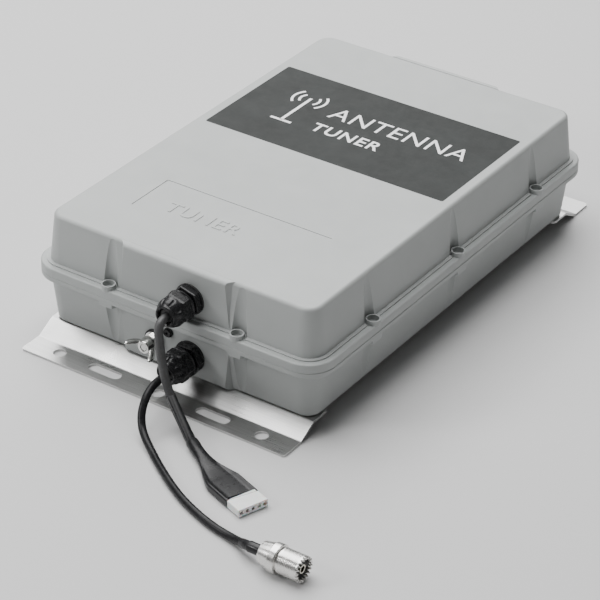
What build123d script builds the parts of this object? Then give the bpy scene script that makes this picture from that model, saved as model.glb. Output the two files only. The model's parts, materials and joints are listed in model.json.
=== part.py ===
from build123d import *
import math
import os

# An outdoor antenna tuner: a drafted two-piece case on two bent steel brackets,
# with two cable glands and a ground terminal in front and the antenna terminal behind.
# Millimetres.  Z = 0 is the surface under the bracket feet, the front is -Y.

# ---- case
CASE_TOP = 85.0
PARTING = 46.2
CASE_BOTTOM = 9.0
WALL_LENGTH = 311.0          # outside the walls, where they meet the flanges
WALL_WIDTH = 204.0
CORNER_RADIUS = 13.0
DRAFT = 6.3                  # degrees
WALL = 3.0
ROOF = 3.0
FLANGE_REACH = 6.0
COVER_FLANGE = 6.0
BASE_FLANGE = 3.8
EDGE_ROUND = 2.6
FLANGE_ROUND = 1.0
PARTING_CHAMFER = 0.4
BEAD_WIDTH = 2.2
BEAD_HEIGHT = 0.9
PAD_HALF = 37.4              # flat of the upright pads, at the top edge
PAD_FLARE = 3.6
PAD_ROOT_IN = 0.2            # the pad's foot starts this much inside its flare
GASKET_WIDTH = 1.8
GASKET_THICK = 1.5
GASKET_LIP = 0.5

# ---- cover screws
SCREW_OUT = 2.5              # screw axis outside the wall, long sides
SCREW_OUT_END = 2.3          # and short sides
SCREW_PITCH = 97.0           # along the long sides
SCREW_END_X = 48.0
SCREW_R = 1.95
SCREW_HEAD_R = 3.3
SCREW_HEAD = 2.4
SCREW_SINK = 0.4             # head seat below the ledge
SCREW_TIP_GAP = 0.3
WELL_R = 6.0
WELL_WALL = 2.6
BOSS_R = 4.5
BOSS_RISE = 3.0
INSERT_R = 2.6
INSERT_LENGTH = 5.3
FLANGE_DROP = 2.2            # thicker base flange around each insert

# ---- label and groove on the roof
LABEL_WIDTH = 182.0
LABEL_LENGTH = 96.0
LABEL_FRONT = 0.8
LABEL_THICK = 0.3
LABEL_GAP = 0.05
LABEL_CORNER = 1.5
GROOVE_X = -63.2
GROOVE_Y = -113.8
GROOVE_RISE = 37.2
GROOVE_RUN = 123.6
GROOVE_WIDTH = 0.8
GROOVE_DEPTH = 0.4

# ---- mounting brackets, measured outwards from the end walls of the case
BRACKET_WIDTH = 198.8
SHEET = 1.6
FOOT_OUT = 26.6
HOLE_OUT = 17.0
RISE_OUT = 9.0               # where the foot starts to rise
RISE_IN = 4.5                # where the slope reaches the floor of the case
BRACKET_IN = 21.5
SHEET_BEND_R = 3.0
BRACKET_CORNER = 5.0
FOOT_CORNER = 2.0
HOLE_R = 4.25
HOLE_X = 76.6
SLOT_X = 41.0
SLOT_LENGTH = 24.0
SLOT_WIDTH = 7.6
BRACKET_SCREW_X = (30.0, 80.0)
BRACKET_SCREW_IN = 7.0
BRACKET_SCREW_R = 1.95
BRACKET_SCREW_HEAD_R = 3.6
BRACKET_SCREW_HEAD = 2.4
BRACKET_SCREW_TIP_GAP = 0.5
BRACKET_BOSS_R = 4.6
BRACKET_BOSS = 4.5

# ---- cable glands, distances measured outwards from the wall
GLAND_X = 12.2
UPPER_GLAND_Z = 64.9
LOWER_GLAND_Z = 24.3
UPPER_GLAND_TURN = -14.0     # degrees about the gland's own axis
LOWER_GLAND_TURN = 3.0
GLAND_HEX = 19.0
GLAND_THREAD_R = 7.8
GLAND_WASHER_R = 10.2
GLAND_NUT = 5.2
GLAND_WASHER = 1.0
GLAND_CAP_START = 8.8
GLAND_COLLAR = 1.2
GLAND_FLATS_END = 17.2
GLAND_LENGTH = 25.5
GLAND_BEVEL = 1.4
GLAND_DOME = [(0.0, 1.6), (0.7, 4.2), (1.8, 6.5), (3.0, 8.0), (3.6, 8.3)]    # inside the flats, past them
GLAND_SHOULDER = 1.4         # cavity beyond the seal
GLAND_FLARE = 1.0
GLAND_NECK_END = 14.2
GLAND_SEAL_START = 7.6
GLAND_SEAL_END = 16.6
GLAND_NOSE_END = 23.6
GLAND_NOSE_R = 4.1
GLAND_MOUTH_R = 4.6
GLAND_BORE_R = 4.0
GLAND_SEAT_R = 6.0
GLAND_INNER_END = 1.2        # thread shown beyond the locknut
CORD_START = 13.0
LOCKNUT_HEX = 22.0
LOCKNUT = 4.5
SPOTFACE_WALL = 3.8
SPOTFACE_R = 13.0
SPOTFACE_TOOL = 9.0          # how far the facing tool reaches inwards
BORE_TOOL = 14.0

# ---- ground terminal
GROUND_X = -14.9
GROUND_Z = 26.0
GROUND_STUD_R = 2.45
GROUND_STUD_END = 11.4
GROUND_HEX = 8.0
GROUND_NUT = 3.2
GROUND_HEAD = 2.8
GROUND_SEAL = 1.2
GROUND_SEAL_R = 7.0
GROUND_BASE_WASHER = 1.0
GROUND_BASE_WASHER_R = 5.9
GROUND_WASHER = 1.2
GROUND_WASHER_R = 5.0
GROUND_SPOTFACE_R = 8.0
WING_TURN = 21.0
WING_HUB = 5.4
WING_HUB_R = 5.2
WING_REACH = 10.4
WING_RISE = 12.4
WING_THICK = 2.4
WING_ROUND = 0.9

# ---- antenna terminal, on the rear pad
ANTENNA_Z = 25.0
ANTENNA_STUD_R = 2.95
ANTENNA_STUD_END = 24.5
ANTENNA_STUD_IN = 14.5
ANTENNA_NECK_R = 6.0
ANTENNA_GASKET = 1.0
ANTENNA_GASKET_R = 12.0
ANTENNA_SPOTFACE_R = 11.0
INSULATOR_END = 12.0
INSULATOR_SHAPE = [(12.5, 3.0), (11.5, 4.0), (9.0, 4.6), (8.2, 6.0), (9.6, 7.4), (9.4, 8.6), (7.4, 9.6)]
INSULATOR_TIP_R = 6.6
ANTENNA_HEX = 10.0
ANTENNA_BUSH_IN = 3.0
ANTENNA_INNER_NUT = 5.0
ANTENNA_NUT = 3.0
ANTENNA_WASHER = 1.2
ANTENNA_WASHER_R = 6.2
THUMB_NUT_R = 8.0
THUMB_NUT = 5.2
THUMB_SHOULDER = 2.6
THUMB_BEVEL = 0.8

# ---- vent
VENT_X = -4.2
VENT_Z = 35.2
VENT_R = 3.2
VENT_HEAD = 2.4
VENT_STEM_R = 2.0
VENT_STEM = 3.0
VENT_HOLE_R = 0.9

# ---- circuit board and what is on it
BOARD_SIDE_GAP = 13.0        # from the inside of the walls
BOARD_END_GAP = 21.5
BOARD_CORNER = 6.0
BOARD_THICK = 1.6
BOARD_SCREW_R = 1.45
BOARD_SCREW_HEAD_R = 2.75
BOARD_SCREW_HEAD = 2.0
BOARD_SCREW_SIDE = 7.0
BOARD_SCREW_END = 8.0
BOARD_HOLE_BELOW = 0.5       # screw hole below the floor's upper face
STANDOFF = 6.0
STANDOFF_R = 4.0
RELAY = (12.0, 20.0, 10.0)
RELAY_COLUMNS = (-64.0, -46.0)
RELAY_ROWS = range(-90, 111, 25)
CORE_R = 14.0
CORE_SECTION_R = 4.5
CORE_PLACES = [(-12.0, -66.0), (-12.0, -22.0), (-12.0, 22.0), (-12.0, 66.0)]
WIRE_R = 0.8
WIRE_STEP = 20               # degrees
WIRE_ARC = 240
CAN = (44.0, 40.0, 12.0)
CAN_WALL = 0.6
CAN_PLACE = (52.0, 88.0)
CHIP = (12.0, 12.0, 1.6)
CHIP_PLACES = [(44.0, 88.0), (62.0, 80.0), (62.0, 98.0)]
CAPACITOR_R = 7.0
CAPACITOR = 12.0
CAPACITOR_COLUMNS = (36.0, 56.0)
CAPACITOR_ROWS = (-60.0, -36.0, -12.0, 12.0, 36.0)
HEADER_X = 44.0
HEADER_Y = -100.0
HEADER = (22.0, 12.0, 9.0)
HEADER_WALL = 1.5
INNER_PLUG = (18.0, 8.0, 10.0)
INNER_PLUG_LIFT = 2.0

# ---- cords
CONTROL_R = 2.8
COAX_R = 2.5
SEAL_GAP = 0.03              # between a cord and the seal round it
CONTROL_ROUTE = [(GLAND_X, -184.0, UPPER_GLAND_Z), (13.0, -188.4, 60.5), (14.6, -189.4, 51.0),
                 (16.4, -190.0, 41.0), (18.8, -190.6, 31.2), (22.6, -191.5, 21.8), (28.6, -193.1, 13.4),
                 (36.3, -196.3, 7.2), (43.8, -201.0, 4.1), (51.0, -206.0, 3.7)]
COAX_ROUTE = [(GLAND_X, -187.5, LOWER_GLAND_Z), (12.9, -197.5, 23.0), (14.2, -205.0, 18.6),
              (15.9, -210.3, 12.0), (21.0, -215.6, 6.2), (31.5, -222.6, 3.1), (45.6, -232.7, 2.7),
              (62.5, -243.8, 2.7), (80.3, -253.6, 2.7), (104.0, -262.2, 2.7), (121.0, -265.2, 3.0),
              (130.3, -268.2, 5.2)]
SLEEVE_R = 3.4
COAX_SLEEVE_LENGTH = 17.0

# ---- connector at the end of the control cable
BOOT_NECK_R = 3.7
BOOT_WAIST = (64.0, -213.9)
BOOT_WAIST_WIDTH = 8.6
BOOT_WAIST_THICK = 7.0
BOOT_HEADING = -20.0
BOOT_FLAT_START = (86.5, -225.4)
BOOT_FLAT = 19.0
BOOT_WIDTH = 22.4
BOOT_THICK = 6.4
BOOT_CORNER = 2.4
HOUSING_WIDTH = 20.4
HOUSING_THICK = 5.0
HOUSING_LENGTH = 12.0
HOUSING_CORNER = 0.8
PIN_COUNT = 5
PIN_WIDTH = 1.9
PIN_THICK = 0.8
SOCKET = 2.4
SOCKET_DEPTH = 7.0
PIN_SHORT = 1.0              # pins end this far inside the sockets

# ---- in-line jack at the end of the coax
JACK_X = 147.2
JACK_Y = -272.0
JACK_REAR_R = 6.8
JACK_COLLAR_R = 8.9
JACK_THREAD_R = 7.94
JACK_REAR = 12.8
JACK_LENGTH = 28.5
JACK_LEAD_IN = 9.0           # straight cable behind the jack
JACK_BORE_R = 6.2
JACK_BORE_START = 15.8
JACK_PIN_R = 2.7
JACK_CONTACT_R = 2.0
JACK_CONTACT_START = 18.8
JACK_CONTACT_BACK = 1.6      # behind the rim
JACK_INSULATOR_BACK = 3.0
JACK_NOTCHES = 20
JACK_NOTCH = (3.0, 1.0, 1.6)

# ---- shared details
HEAD_ROUND = 0.35            # screw heads: rounding as a share of the head's height
RECESS_SPAN = 1.1            # cross recess, as shares of the head's radius
RECESS_SLOT = 0.28
SMALL_NUT_BEVEL = 0.4
BODY_ROUND = 0.8             # corners of relays and capacitors
CAN_CORNER = 2.0

# ---- fits
RUNNING = 0.05               # screwed and turning surfaces
FREE = 0.4                   # surfaces that must never touch
SEAT = 0.1                   # holes for fixed parts
PAST = 1.0                   # how far a cutting tool runs past a face

wall_half_x = WALL_WIDTH / 2
wall_half_y = WALL_LENGTH / 2
ledge_z = PARTING + COVER_FLANGE
under_flange_z = PARTING - BASE_FLANGE
slope = math.tan(math.radians(DRAFT))
floor_top = CASE_BOTTOM + ROOF
board_width = WALL_WIDTH - 2 * (WALL + BOARD_SIDE_GAP)
board_length = WALL_LENGTH - 2 * (WALL + BOARD_END_GAP)
hole_row = wall_half_y + HOLE_OUT
bracket_inner = wall_half_y - BRACKET_IN
board_z = floor_top + STANDOFF
board_top = board_z + BOARD_THICK
parts = {}


def post(radius, x, y, z_low, z_high):
    """A cylinder between two heights."""
    return Pos(x, y, z_low) * Cylinder(radius, z_high - z_low, align=(Align.CENTER, Align.CENTER, Align.MIN))


def tube(outer, inner, low, high):
    """A ring about Z between two heights."""
    return post(outer, 0, 0, low, high) - post(inner, 0, 0, low - 1, high + 1)


def hexagon(across_flats, low, high, bevel=0.6):
    """A hexagonal nut blank with its corners turned off at both ends."""
    corner = across_flats / math.sqrt(3)
    prism = extrude(Plane.XY.offset(low) * RegularPolygon(corner, 6), high - low)
    turned = [(0, low), (corner - bevel, low), (corner, low + bevel), (corner, high - bevel),
              (corner - bevel, high), (0, high)]
    return prism & revolve(Plane.XZ * Polygon(*turned, align=None), Axis.Z)


def turned(*points):
    """A body turned about Z from (radius, height) points."""
    return revolve(Plane.XZ * Polygon(*points, align=None), Axis.Z)


def facing(x, y, z, forward):
    """Where an outward fitting stands on an end wall: its own +Z points out of the wall."""
    return Plane(origin=(x, y, z), x_dir=(-forward, 0, 0), z_dir=(0, forward, 0)).location


def slab(half_x, half_y, radius, low, high):
    """A straight rounded rectangular slab."""
    return extrude(Plane.XY.offset(low) * RectangleRounded(2 * half_x, 2 * half_y, radius), high - low)


def drafted(half_x, half_y, radius, start, end):
    """A rounded rectangular block that narrows from one height to another."""
    towards = 1 if end > start else -1
    plane = Plane(origin=(0, 0, start), x_dir=(1, 0, 0), z_dir=(0, 0, towards))
    return extrude(plane * RectangleRounded(2 * half_x, 2 * half_y, radius), abs(end - start), taper=DRAFT)


def pad(side, start, end):
    """The upright pad on an end wall, flush with the wall at start and proud of it at end."""
    face = side * wall_half_y
    root = side * (wall_half_y - slope * abs(end - start) - PAST)
    sections = []
    wide = PAD_HALF + PAD_FLARE
    for height, half in ((start, wide - PAD_ROOT_IN), (end, PAD_HALF)):
        outline = Polygon((-wide - PAST, root), (wide + PAST, root),
                          (half, face), (-half, face), align=None)
        sections.append(Plane.XY.offset(height) * outline)
    body = loft(sections, ruled=True)
    along = body.edges().filter_by(Axis.X)
    outer_edge = along.sort_by(lambda e: abs(e.center().Z - end) - side * e.center().Y)[0]
    return fillet(outer_edge, EDGE_ROUND)


def rounded_end(body, height):
    """Round the rim of the flat end of a drafted block."""
    rim = body.faces().filter_by(Plane.XY).sort_by(lambda f: abs(f.center().Z - height))[0]
    return fillet(rim.edges(), EDGE_ROUND)


def cover_screw_places():
    """Axes of the ten cover screws."""
    side_x = wall_half_x + SCREW_OUT
    end_y = wall_half_y + SCREW_OUT_END
    sides = [(sx * side_x, row * SCREW_PITCH) for sx in (-1, 1) for row in (-1, 0, 1)]
    ends = [(sx * SCREW_END_X, sy * end_y) for sx in (-1, 1) for sy in (-1, 1)]
    return sides + ends


def standoff_places():
    """Six board screws."""
    x = board_width / 2 - BOARD_SCREW_SIDE
    y = board_length / 2 - BOARD_SCREW_END
    return [(sx * x, row * y) for sx in (-1, 1) for row in (-1, 0, 1)]


def bracket_screw_places():
    """Eight screws from below, four in each bracket."""
    y = bracket_inner + BRACKET_SCREW_IN
    return [(sx * x, sy * y) for sx in (-1, 1) for x in BRACKET_SCREW_X for sy in (-1, 1)]


def case_half(start, end, flange_low, flange_high):
    """Walls, flange, pads and screw wells of one half, before its own details."""
    outer = rounded_end(drafted(wall_half_x, wall_half_y, CORNER_RADIUS, start, end), end)
    flange = slab(wall_half_x + FLANGE_REACH, wall_half_y + FLANGE_REACH,
                  CORNER_RADIUS + FLANGE_REACH, flange_low, flange_high)
    rims = flange.edges().filter_by(Plane.XY).group_by(Axis.Z)
    flange = fillet(rims[-1] if end > start else rims[0], FLANGE_ROUND)
    parting_height = flange_low if end > start else flange_high
    level = flange.edges().filter_by(Plane.XY)
    flange = chamfer(level.filter_by(lambda e: abs(e.center().Z - parting_height) < SEAT), PARTING_CHAMFER)
    outer = outer + flange + pad(-1, start, end) + pad(1, start, end)
    inner_end = end - math.copysign(ROOF, end - start)
    inner = drafted(wall_half_x - WALL, wall_half_y - WALL, CORNER_RADIUS - WALL, PARTING, inner_end)
    shell = outer - inner
    columns = [post(WELL_R + WELL_WALL, x, y, min(PARTING, end), max(PARTING, end))
               for x, y in cover_screw_places()]
    return shell + [column & outer for column in columns]


def spotface(x, y, z, forward, radius=SPOTFACE_R):
    """Tool that flattens the inside of an end wall around a fitting."""
    return facing(x, y, z, forward) * post(radius, 0, 0, -SPOTFACE_WALL - SPOTFACE_TOOL, -SPOTFACE_WALL)


def bore_through(x, y, z, forward, radius):
    """Tool that bores an end wall for a fitting."""
    return facing(x, y, z, forward) * post(radius, 0, 0, -BORE_TOOL, PAST)


def make_cover():
    """Upper half of the case, with its label recess and a shallow border groove."""
    cover = case_half(ledge_z, CASE_TOP, PARTING, ledge_z)
    bead = slab(wall_half_x + BEAD_WIDTH, wall_half_y + BEAD_WIDTH, CORNER_RADIUS + BEAD_WIDTH,
                ledge_z, ledge_z + BEAD_HEIGHT)
    inside = slab(wall_half_x - PAST, wall_half_y - PAST, CORNER_RADIUS - PAST,
                  ledge_z - PAST, ledge_z + 2 * PAST)
    cover += bead - inside
    cover -= [post(WELL_R, x, y, ledge_z, CASE_TOP + PAST) for x, y in cover_screw_places()]
    cover += [post(BOSS_R, x, y, ledge_z - PAST, ledge_z + BOSS_RISE) for x, y in cover_screw_places()]
    head_seat = ledge_z - SCREW_SINK
    cover -= [post(SCREW_HEAD_R + FREE, x, y, head_seat, CASE_TOP) for x, y in cover_screw_places()]
    cover -= [post(SCREW_R + FREE / 2, x, y, PARTING - PAST, ledge_z) for x, y in cover_screw_places()]
    cover -= spotface(GLAND_X, -wall_half_y, UPPER_GLAND_Z, -1)
    cover -= bore_through(GLAND_X, -wall_half_y, UPPER_GLAND_Z, -1, GLAND_THREAD_R + SEAT)
    cover -= label_blank(LABEL_GAP)
    groove_a = Box(GROOVE_WIDTH, GROOVE_RISE, 2 * GROOVE_DEPTH, align=(Align.CENTER, Align.MIN, Align.CENTER))
    groove_b = Box(GROOVE_RUN, GROOVE_WIDTH, 2 * GROOVE_DEPTH, align=(Align.MIN, Align.CENTER, Align.CENTER))
    cover -= Pos(GROOVE_X, GROOVE_Y, CASE_TOP) * groove_a
    cover -= Pos(GROOVE_X, GROOVE_Y + GROOVE_RISE, CASE_TOP) * groove_b
    return cover


def label_blank(gap):
    """The label, or with a gap its recess."""
    outline = RectangleRounded(LABEL_WIDTH + 2 * gap, LABEL_LENGTH + 2 * gap, LABEL_CORNER)
    y = LABEL_FRONT + LABEL_LENGTH / 2
    return extrude(Pos(0, y, CASE_TOP - LABEL_THICK) * outline, LABEL_THICK)


def make_base():
    """Lower half of the case, with insert bosses, board standoffs and a gasket groove."""
    base = case_half(under_flange_z, CASE_BOTTOM, under_flange_z, PARTING)
    low = under_flange_z - FLANGE_DROP
    high = under_flange_z + PAST
    flange_outline = slab(wall_half_x + FLANGE_REACH, wall_half_y + FLANGE_REACH,
                          CORNER_RADIUS + FLANGE_REACH, low, high)
    hole_low = floor_top - BOARD_HOLE_BELOW
    insert_end = CASE_BOTTOM + INSERT_LENGTH
    base -= [post(WELL_R, x, y, CASE_BOTTOM - PAST, low) for x, y in cover_screw_places()]
    base += [post(WELL_R, x, y, low, high) & flange_outline for x, y in cover_screw_places()]
    base += [post(STANDOFF_R, x, y, floor_top - PAST, board_z) for x, y in standoff_places()]
    base += [post(BRACKET_BOSS_R, x, y, floor_top - PAST, floor_top + BRACKET_BOSS)
             for x, y in bracket_screw_places()]
    base -= [post(INSERT_R, x, y, PARTING - INSERT_LENGTH, PARTING + PAST) for x, y in cover_screw_places()]
    base -= [post(BOARD_SCREW_R + RUNNING, x, y, hole_low, board_z + PAST) for x, y in standoff_places()]
    base -= [post(INSERT_R, x, y, CASE_BOTTOM - PAST, insert_end) for x, y in bracket_screw_places()]
    base -= gasket_ring()
    base -= spotface(GLAND_X, -wall_half_y, LOWER_GLAND_Z, -1)
    base -= bore_through(GLAND_X, -wall_half_y, LOWER_GLAND_Z, -1, GLAND_THREAD_R + SEAT)
    base -= spotface(GROUND_X, -wall_half_y, GROUND_Z, -1, GROUND_SPOTFACE_R)
    base -= bore_through(GROUND_X, -wall_half_y, GROUND_Z, -1, GROUND_STUD_R + SEAT)
    base -= spotface(0, wall_half_y, ANTENNA_Z, 1, ANTENNA_SPOTFACE_R)
    base -= bore_through(0, wall_half_y, ANTENNA_Z, 1, ANTENNA_NECK_R + SEAT)
    base -= facing(VENT_X, -wall_half_y, VENT_Z, -1) * post(VENT_STEM_R, 0, 0, -VENT_STEM, PAST)
    return base


def gasket_ring():
    """The sealing cord, and the groove it fills in the base flange."""
    half_x = wall_half_x - WALL + GASKET_LIP
    half_y = wall_half_y - WALL + GASKET_LIP
    radius = CORNER_RADIUS - WALL + GASKET_LIP
    low = PARTING - GASKET_THICK
    ring = slab(half_x + GASKET_WIDTH, half_y + GASKET_WIDTH, radius + GASKET_WIDTH, low, PARTING)
    return ring - slab(half_x, half_y, radius, low - PAST, PARTING + PAST)


def make_bracket(side):
    """A bent sheet bracket: foot, slope and the flange under the case."""
    rise = CASE_BOTTOM - SHEET
    foot_edge = wall_half_y + FOOT_OUT
    bend_out = wall_half_y + RISE_OUT
    bend_in = wall_half_y - RISE_IN
    lean = math.atan2(rise, bend_out - bend_in)
    shift = SHEET * math.tan(lean / 2)
    outline = [(foot_edge, 0), (bend_out, 0), (bend_in, rise), (bracket_inner, rise),
               (bracket_inner, rise + SHEET), (bend_in + shift, rise + SHEET),
               (bend_out + shift, SHEET), (foot_edge, SHEET)]
    sheet = extrude(Plane.YZ * Polygon(*outline, align=None), BRACKET_WIDTH / 2, both=True)
    bends = sheet.edges().filter_by(Axis.X).filter_by_position(Axis.Y, bend_in - PAST, bend_out + PAST)
    sheet = fillet(bends, SHEET_BEND_R)
    corners = sheet.edges().filter_by(Axis.Z).sort_by(Axis.Y)
    sheet = fillet(corners[:2], BRACKET_CORNER)
    sheet = fillet(sheet.edges().filter_by(Axis.Z).sort_by(Axis.Y)[-2:], FOOT_CORNER)
    sheet -= [post(HOLE_R, x, hole_row, -PAST, SHEET + PAST) for x in (-HOLE_X, 0, HOLE_X)]
    slot = extrude(SlotOverall(SLOT_LENGTH, SLOT_WIDTH), SHEET + 2 * PAST)
    sheet -= [Pos(x, hole_row, -PAST) * slot for x in (-SLOT_X, SLOT_X)]
    sheet -= [post(BRACKET_SCREW_R + SEAT, x, y, rise - PAST, CASE_BOTTOM + PAST)
              for x, y in bracket_screw_places() if y > 0]
    return sheet if side > 0 else mirror(sheet, Plane.XZ)


def screws(places, radius, head_r, head, head_low, tip):
    """Pan-head screws with a cross recess, head above or below the shank."""
    made = []
    for x, y in places:
        down = tip < head_low
        shank = post(radius, 0, 0, min(tip, head_low), max(tip, head_low))
        top = head_low + head if down else head_low - head
        cap = post(head_r, 0, 0, min(top, head_low), max(top, head_low))
        rim = cap.edges().filter_by(GeomType.CIRCLE).sort_by(lambda e: abs(e.center().Z - top))[0]
        cap = fillet(rim, head * HEAD_ROUND)
        span, slot = head_r * RECESS_SPAN, head_r * RECESS_SLOT
        recess = Box(span, slot, head) + Box(slot, span, head)
        made.append(Pos(x, y, 0) * shank + cap - Pos(0, 0, top) * recess)
    return made


def group(solids):
    """Identical pieces that share one node."""
    return Compound(children=[s if isinstance(s, Solid) else s.solids()[0] for s in solids])


def gland_cap():
    """The compression cap: a round collar, six flats and a dome with a flared mouth."""
    corner = GLAND_HEX / math.sqrt(3)
    flat = GLAND_HEX / 2
    shoulder = GLAND_SEAL_END + GLAND_SHOULDER
    chamfer_start = GLAND_FLATS_END - GLAND_BEVEL
    outside = [(0, GLAND_CAP_START), (corner - 1.0, GLAND_CAP_START), (corner - 0.5, GLAND_CAP_START + 0.4),
               (corner, GLAND_CAP_START + GLAND_COLLAR), (corner, chamfer_start)]
    outside += [(flat + 0.2, GLAND_FLATS_END)]
    outside += [(flat - narrower, GLAND_FLATS_END + higher) for narrower, higher in GLAND_DOME]
    outside += [(0, GLAND_LENGTH)]
    flats_height = GLAND_FLATS_END - GLAND_CAP_START
    flats = extrude(Plane.XY.offset(GLAND_CAP_START) * RegularPolygon(corner, 6), flats_height)
    collar = post(corner - 0.5, 0, 0, GLAND_CAP_START, GLAND_CAP_START + GLAND_COLLAR)
    dome = post(flat + 0.2, 0, 0, chamfer_start, GLAND_LENGTH)
    bore_r = GLAND_THREAD_R + RUNNING
    cavity = turned((0, GLAND_CAP_START - PAST), (bore_r, GLAND_CAP_START - PAST), (bore_r, shoulder),
                    (GLAND_MOUTH_R, shoulder + 1.6), (GLAND_MOUTH_R, GLAND_LENGTH - 1.4),
                    (GLAND_MOUTH_R + GLAND_FLARE, GLAND_LENGTH + SEAT), (0, GLAND_LENGTH + SEAT))
    return turned(*outside) & (flats + collar + dome) - cavity


def make_gland(prefix, z, turn, cable_r):
    """A cable gland on the front wall, as its separate pieces; its place is returned."""
    place = facing(GLAND_X, -wall_half_y, z, -1)
    twisted = place * Rot(0, 0, turn)
    nut_end = GLAND_WASHER + GLAND_NUT
    inner_end = -SPOTFACE_WALL - LOCKNUT - GLAND_INNER_END
    body = hexagon(GLAND_HEX, GLAND_WASHER, nut_end)
    body += post(GLAND_THREAD_R, 0, 0, inner_end, GLAND_NECK_END)
    body -= post(GLAND_BORE_R, 0, 0, inner_end - PAST, GLAND_LENGTH)
    body -= post(GLAND_SEAT_R, 0, 0, GLAND_SEAL_START, GLAND_LENGTH)
    locknut = hexagon(LOCKNUT_HEX, -SPOTFACE_WALL - LOCKNUT, -SPOTFACE_WALL)
    locknut -= post(GLAND_THREAD_R + RUNNING, 0, 0, inner_end, 0)
    seal = post(GLAND_SEAT_R, 0, 0, GLAND_SEAL_START, GLAND_SEAL_END)
    seal += post(GLAND_NOSE_R, 0, 0, GLAND_SEAL_END, GLAND_NOSE_END)
    seal -= post(cable_r + SEAL_GAP, 0, 0, 0, GLAND_LENGTH)
    ring_end = GLAND_SEAL_END + GLAND_SHOULDER - FREE
    ring = tube(GLAND_THREAD_R - FREE, GLAND_SEAT_R + FREE, ring_end - 1.5, ring_end)
    parts[f"{prefix}_gland_body"] = twisted * body
    parts[f"{prefix}_gland_washer"] = place * tube(GLAND_WASHER_R, GLAND_THREAD_R + SEAT, 0, GLAND_WASHER)
    parts[f"{prefix}_gland_locknut"] = place * locknut
    parts[f"{prefix}_gland_seal"] = place * seal
    parts[f"{prefix}_gland_ring"] = place * ring
    parts[f"{prefix}_gland_cap"] = twisted * gland_cap()
    return tuple((place * Pos(0, 0, CORD_START)).position)


def route_path(points):
    """Straight runs joined by arcs as large as their runs allow, and the arcs' radii."""
    corners = [Vector(*p) for p in points]
    radii = []
    for before, here, after in zip(corners, corners[1:], corners[2:]):
        arriving = here - before
        leaving = after - here
        shorter = min(arriving.length, leaving.length)
        turn = math.radians(arriving.get_angle(leaving))
        radii.append(0.45 * shorter / math.tan(turn / 2))
    return FilletPolyline(*corners, radius=radii), radii


def tube_along(path, radius):
    """A solid round section swept along a path."""
    return sweep(Plane(origin=path @ 0, z_dir=path % 0) * Circle(radius), path=path)


def cord(name, points, radius):
    """A round cord along its route, checked against section times length."""
    path, radii = route_path(points)
    solid = tube_along(path, radius)
    expected = math.pi * radius ** 2 * path.length
    print(f"{name}: length {path.length:.1f}, volume/expected {solid.volume / expected:.4f}, radii/diameter",
          [round(r / (2 * radius), 1) for r in radii])
    return solid


def make_wing_nut():
    """A hand nut with two tall wings that flare outwards."""
    hub = turned((0, 0), (WING_HUB_R, 0), (WING_HUB_R, 0.8), (WING_HUB_R - 1.0, WING_HUB), (0, WING_HUB))
    root = GROUND_STUD_R + 0.6
    wing_outline = [(root, 0.7), (5.4, 1.0), (7.8, 3.6), (WING_REACH - 0.4, 8.4),
                    (WING_REACH, WING_RISE - 1.6), (WING_REACH - 1.4, WING_RISE),
                    (WING_REACH - 3.4, WING_RISE - 0.4), (5.4, 8.2), (4.2, WING_HUB), (root, WING_HUB)]
    wing = extrude(Plane.XZ * Polygon(*wing_outline, align=None), WING_THICK / 2, both=True)
    corners = wing.edges().filter_by(Axis.Y).filter_by(lambda e: e.center().X > WING_HUB_R + PAST)
    wing = fillet(corners, WING_ROUND)
    nut = hub + wing + Rot(0, 0, 180) * wing
    return nut - post(GROUND_STUD_R + RUNNING, 0, 0, -PAST, WING_RISE + PAST)


def make_ground_terminal():
    """The ground stud with its seal, fixed nut and hand nut."""
    place = facing(GROUND_X, -wall_half_y, GROUND_Z, -1)
    washer_end = GROUND_SEAL + GROUND_BASE_WASHER
    nut_end = washer_end + GROUND_NUT
    clamp_low = nut_end + RUNNING
    clamp_end = clamp_low + GROUND_WASHER
    lug_low = -SPOTFACE_WALL - GROUND_BASE_WASHER
    lock_low = lug_low - GROUND_NUT
    thread = post(GROUND_STUD_R + RUNNING, 0, 0, lock_low - PAST, nut_end + PAST)
    hole = GROUND_STUD_R + SEAT
    stud = post(GROUND_STUD_R, 0, 0, lock_low, GROUND_STUD_END)
    parts["ground_stud"] = place * (stud + hexagon(GROUND_HEX, lock_low - GROUND_HEAD, lock_low, 0.3))
    parts["ground_seal_washer"] = place * tube(GROUND_SEAL_R, hole, 0, GROUND_SEAL)
    parts["ground_base_washer"] = place * tube(GROUND_BASE_WASHER_R, hole, GROUND_SEAL, washer_end)
    parts["ground_base_nut"] = place * (hexagon(GROUND_HEX, washer_end, nut_end, SMALL_NUT_BEVEL) - thread)
    parts["ground_washer"] = place * tube(GROUND_WASHER_R, GROUND_STUD_R + FREE, clamp_low, clamp_end)
    wing_place = place * Pos(0, 0, clamp_end + RUNNING) * Rot(0, 0, -WING_TURN)
    parts["ground_wing_nut"] = wing_place * make_wing_nut()
    parts["ground_inner_lug"] = place * tube(GROUND_WASHER_R, hole, lug_low, -SPOTFACE_WALL)
    parts["ground_inner_nut"] = place * (hexagon(GROUND_HEX, lock_low, lug_low, SMALL_NUT_BEVEL) - thread)


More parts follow.
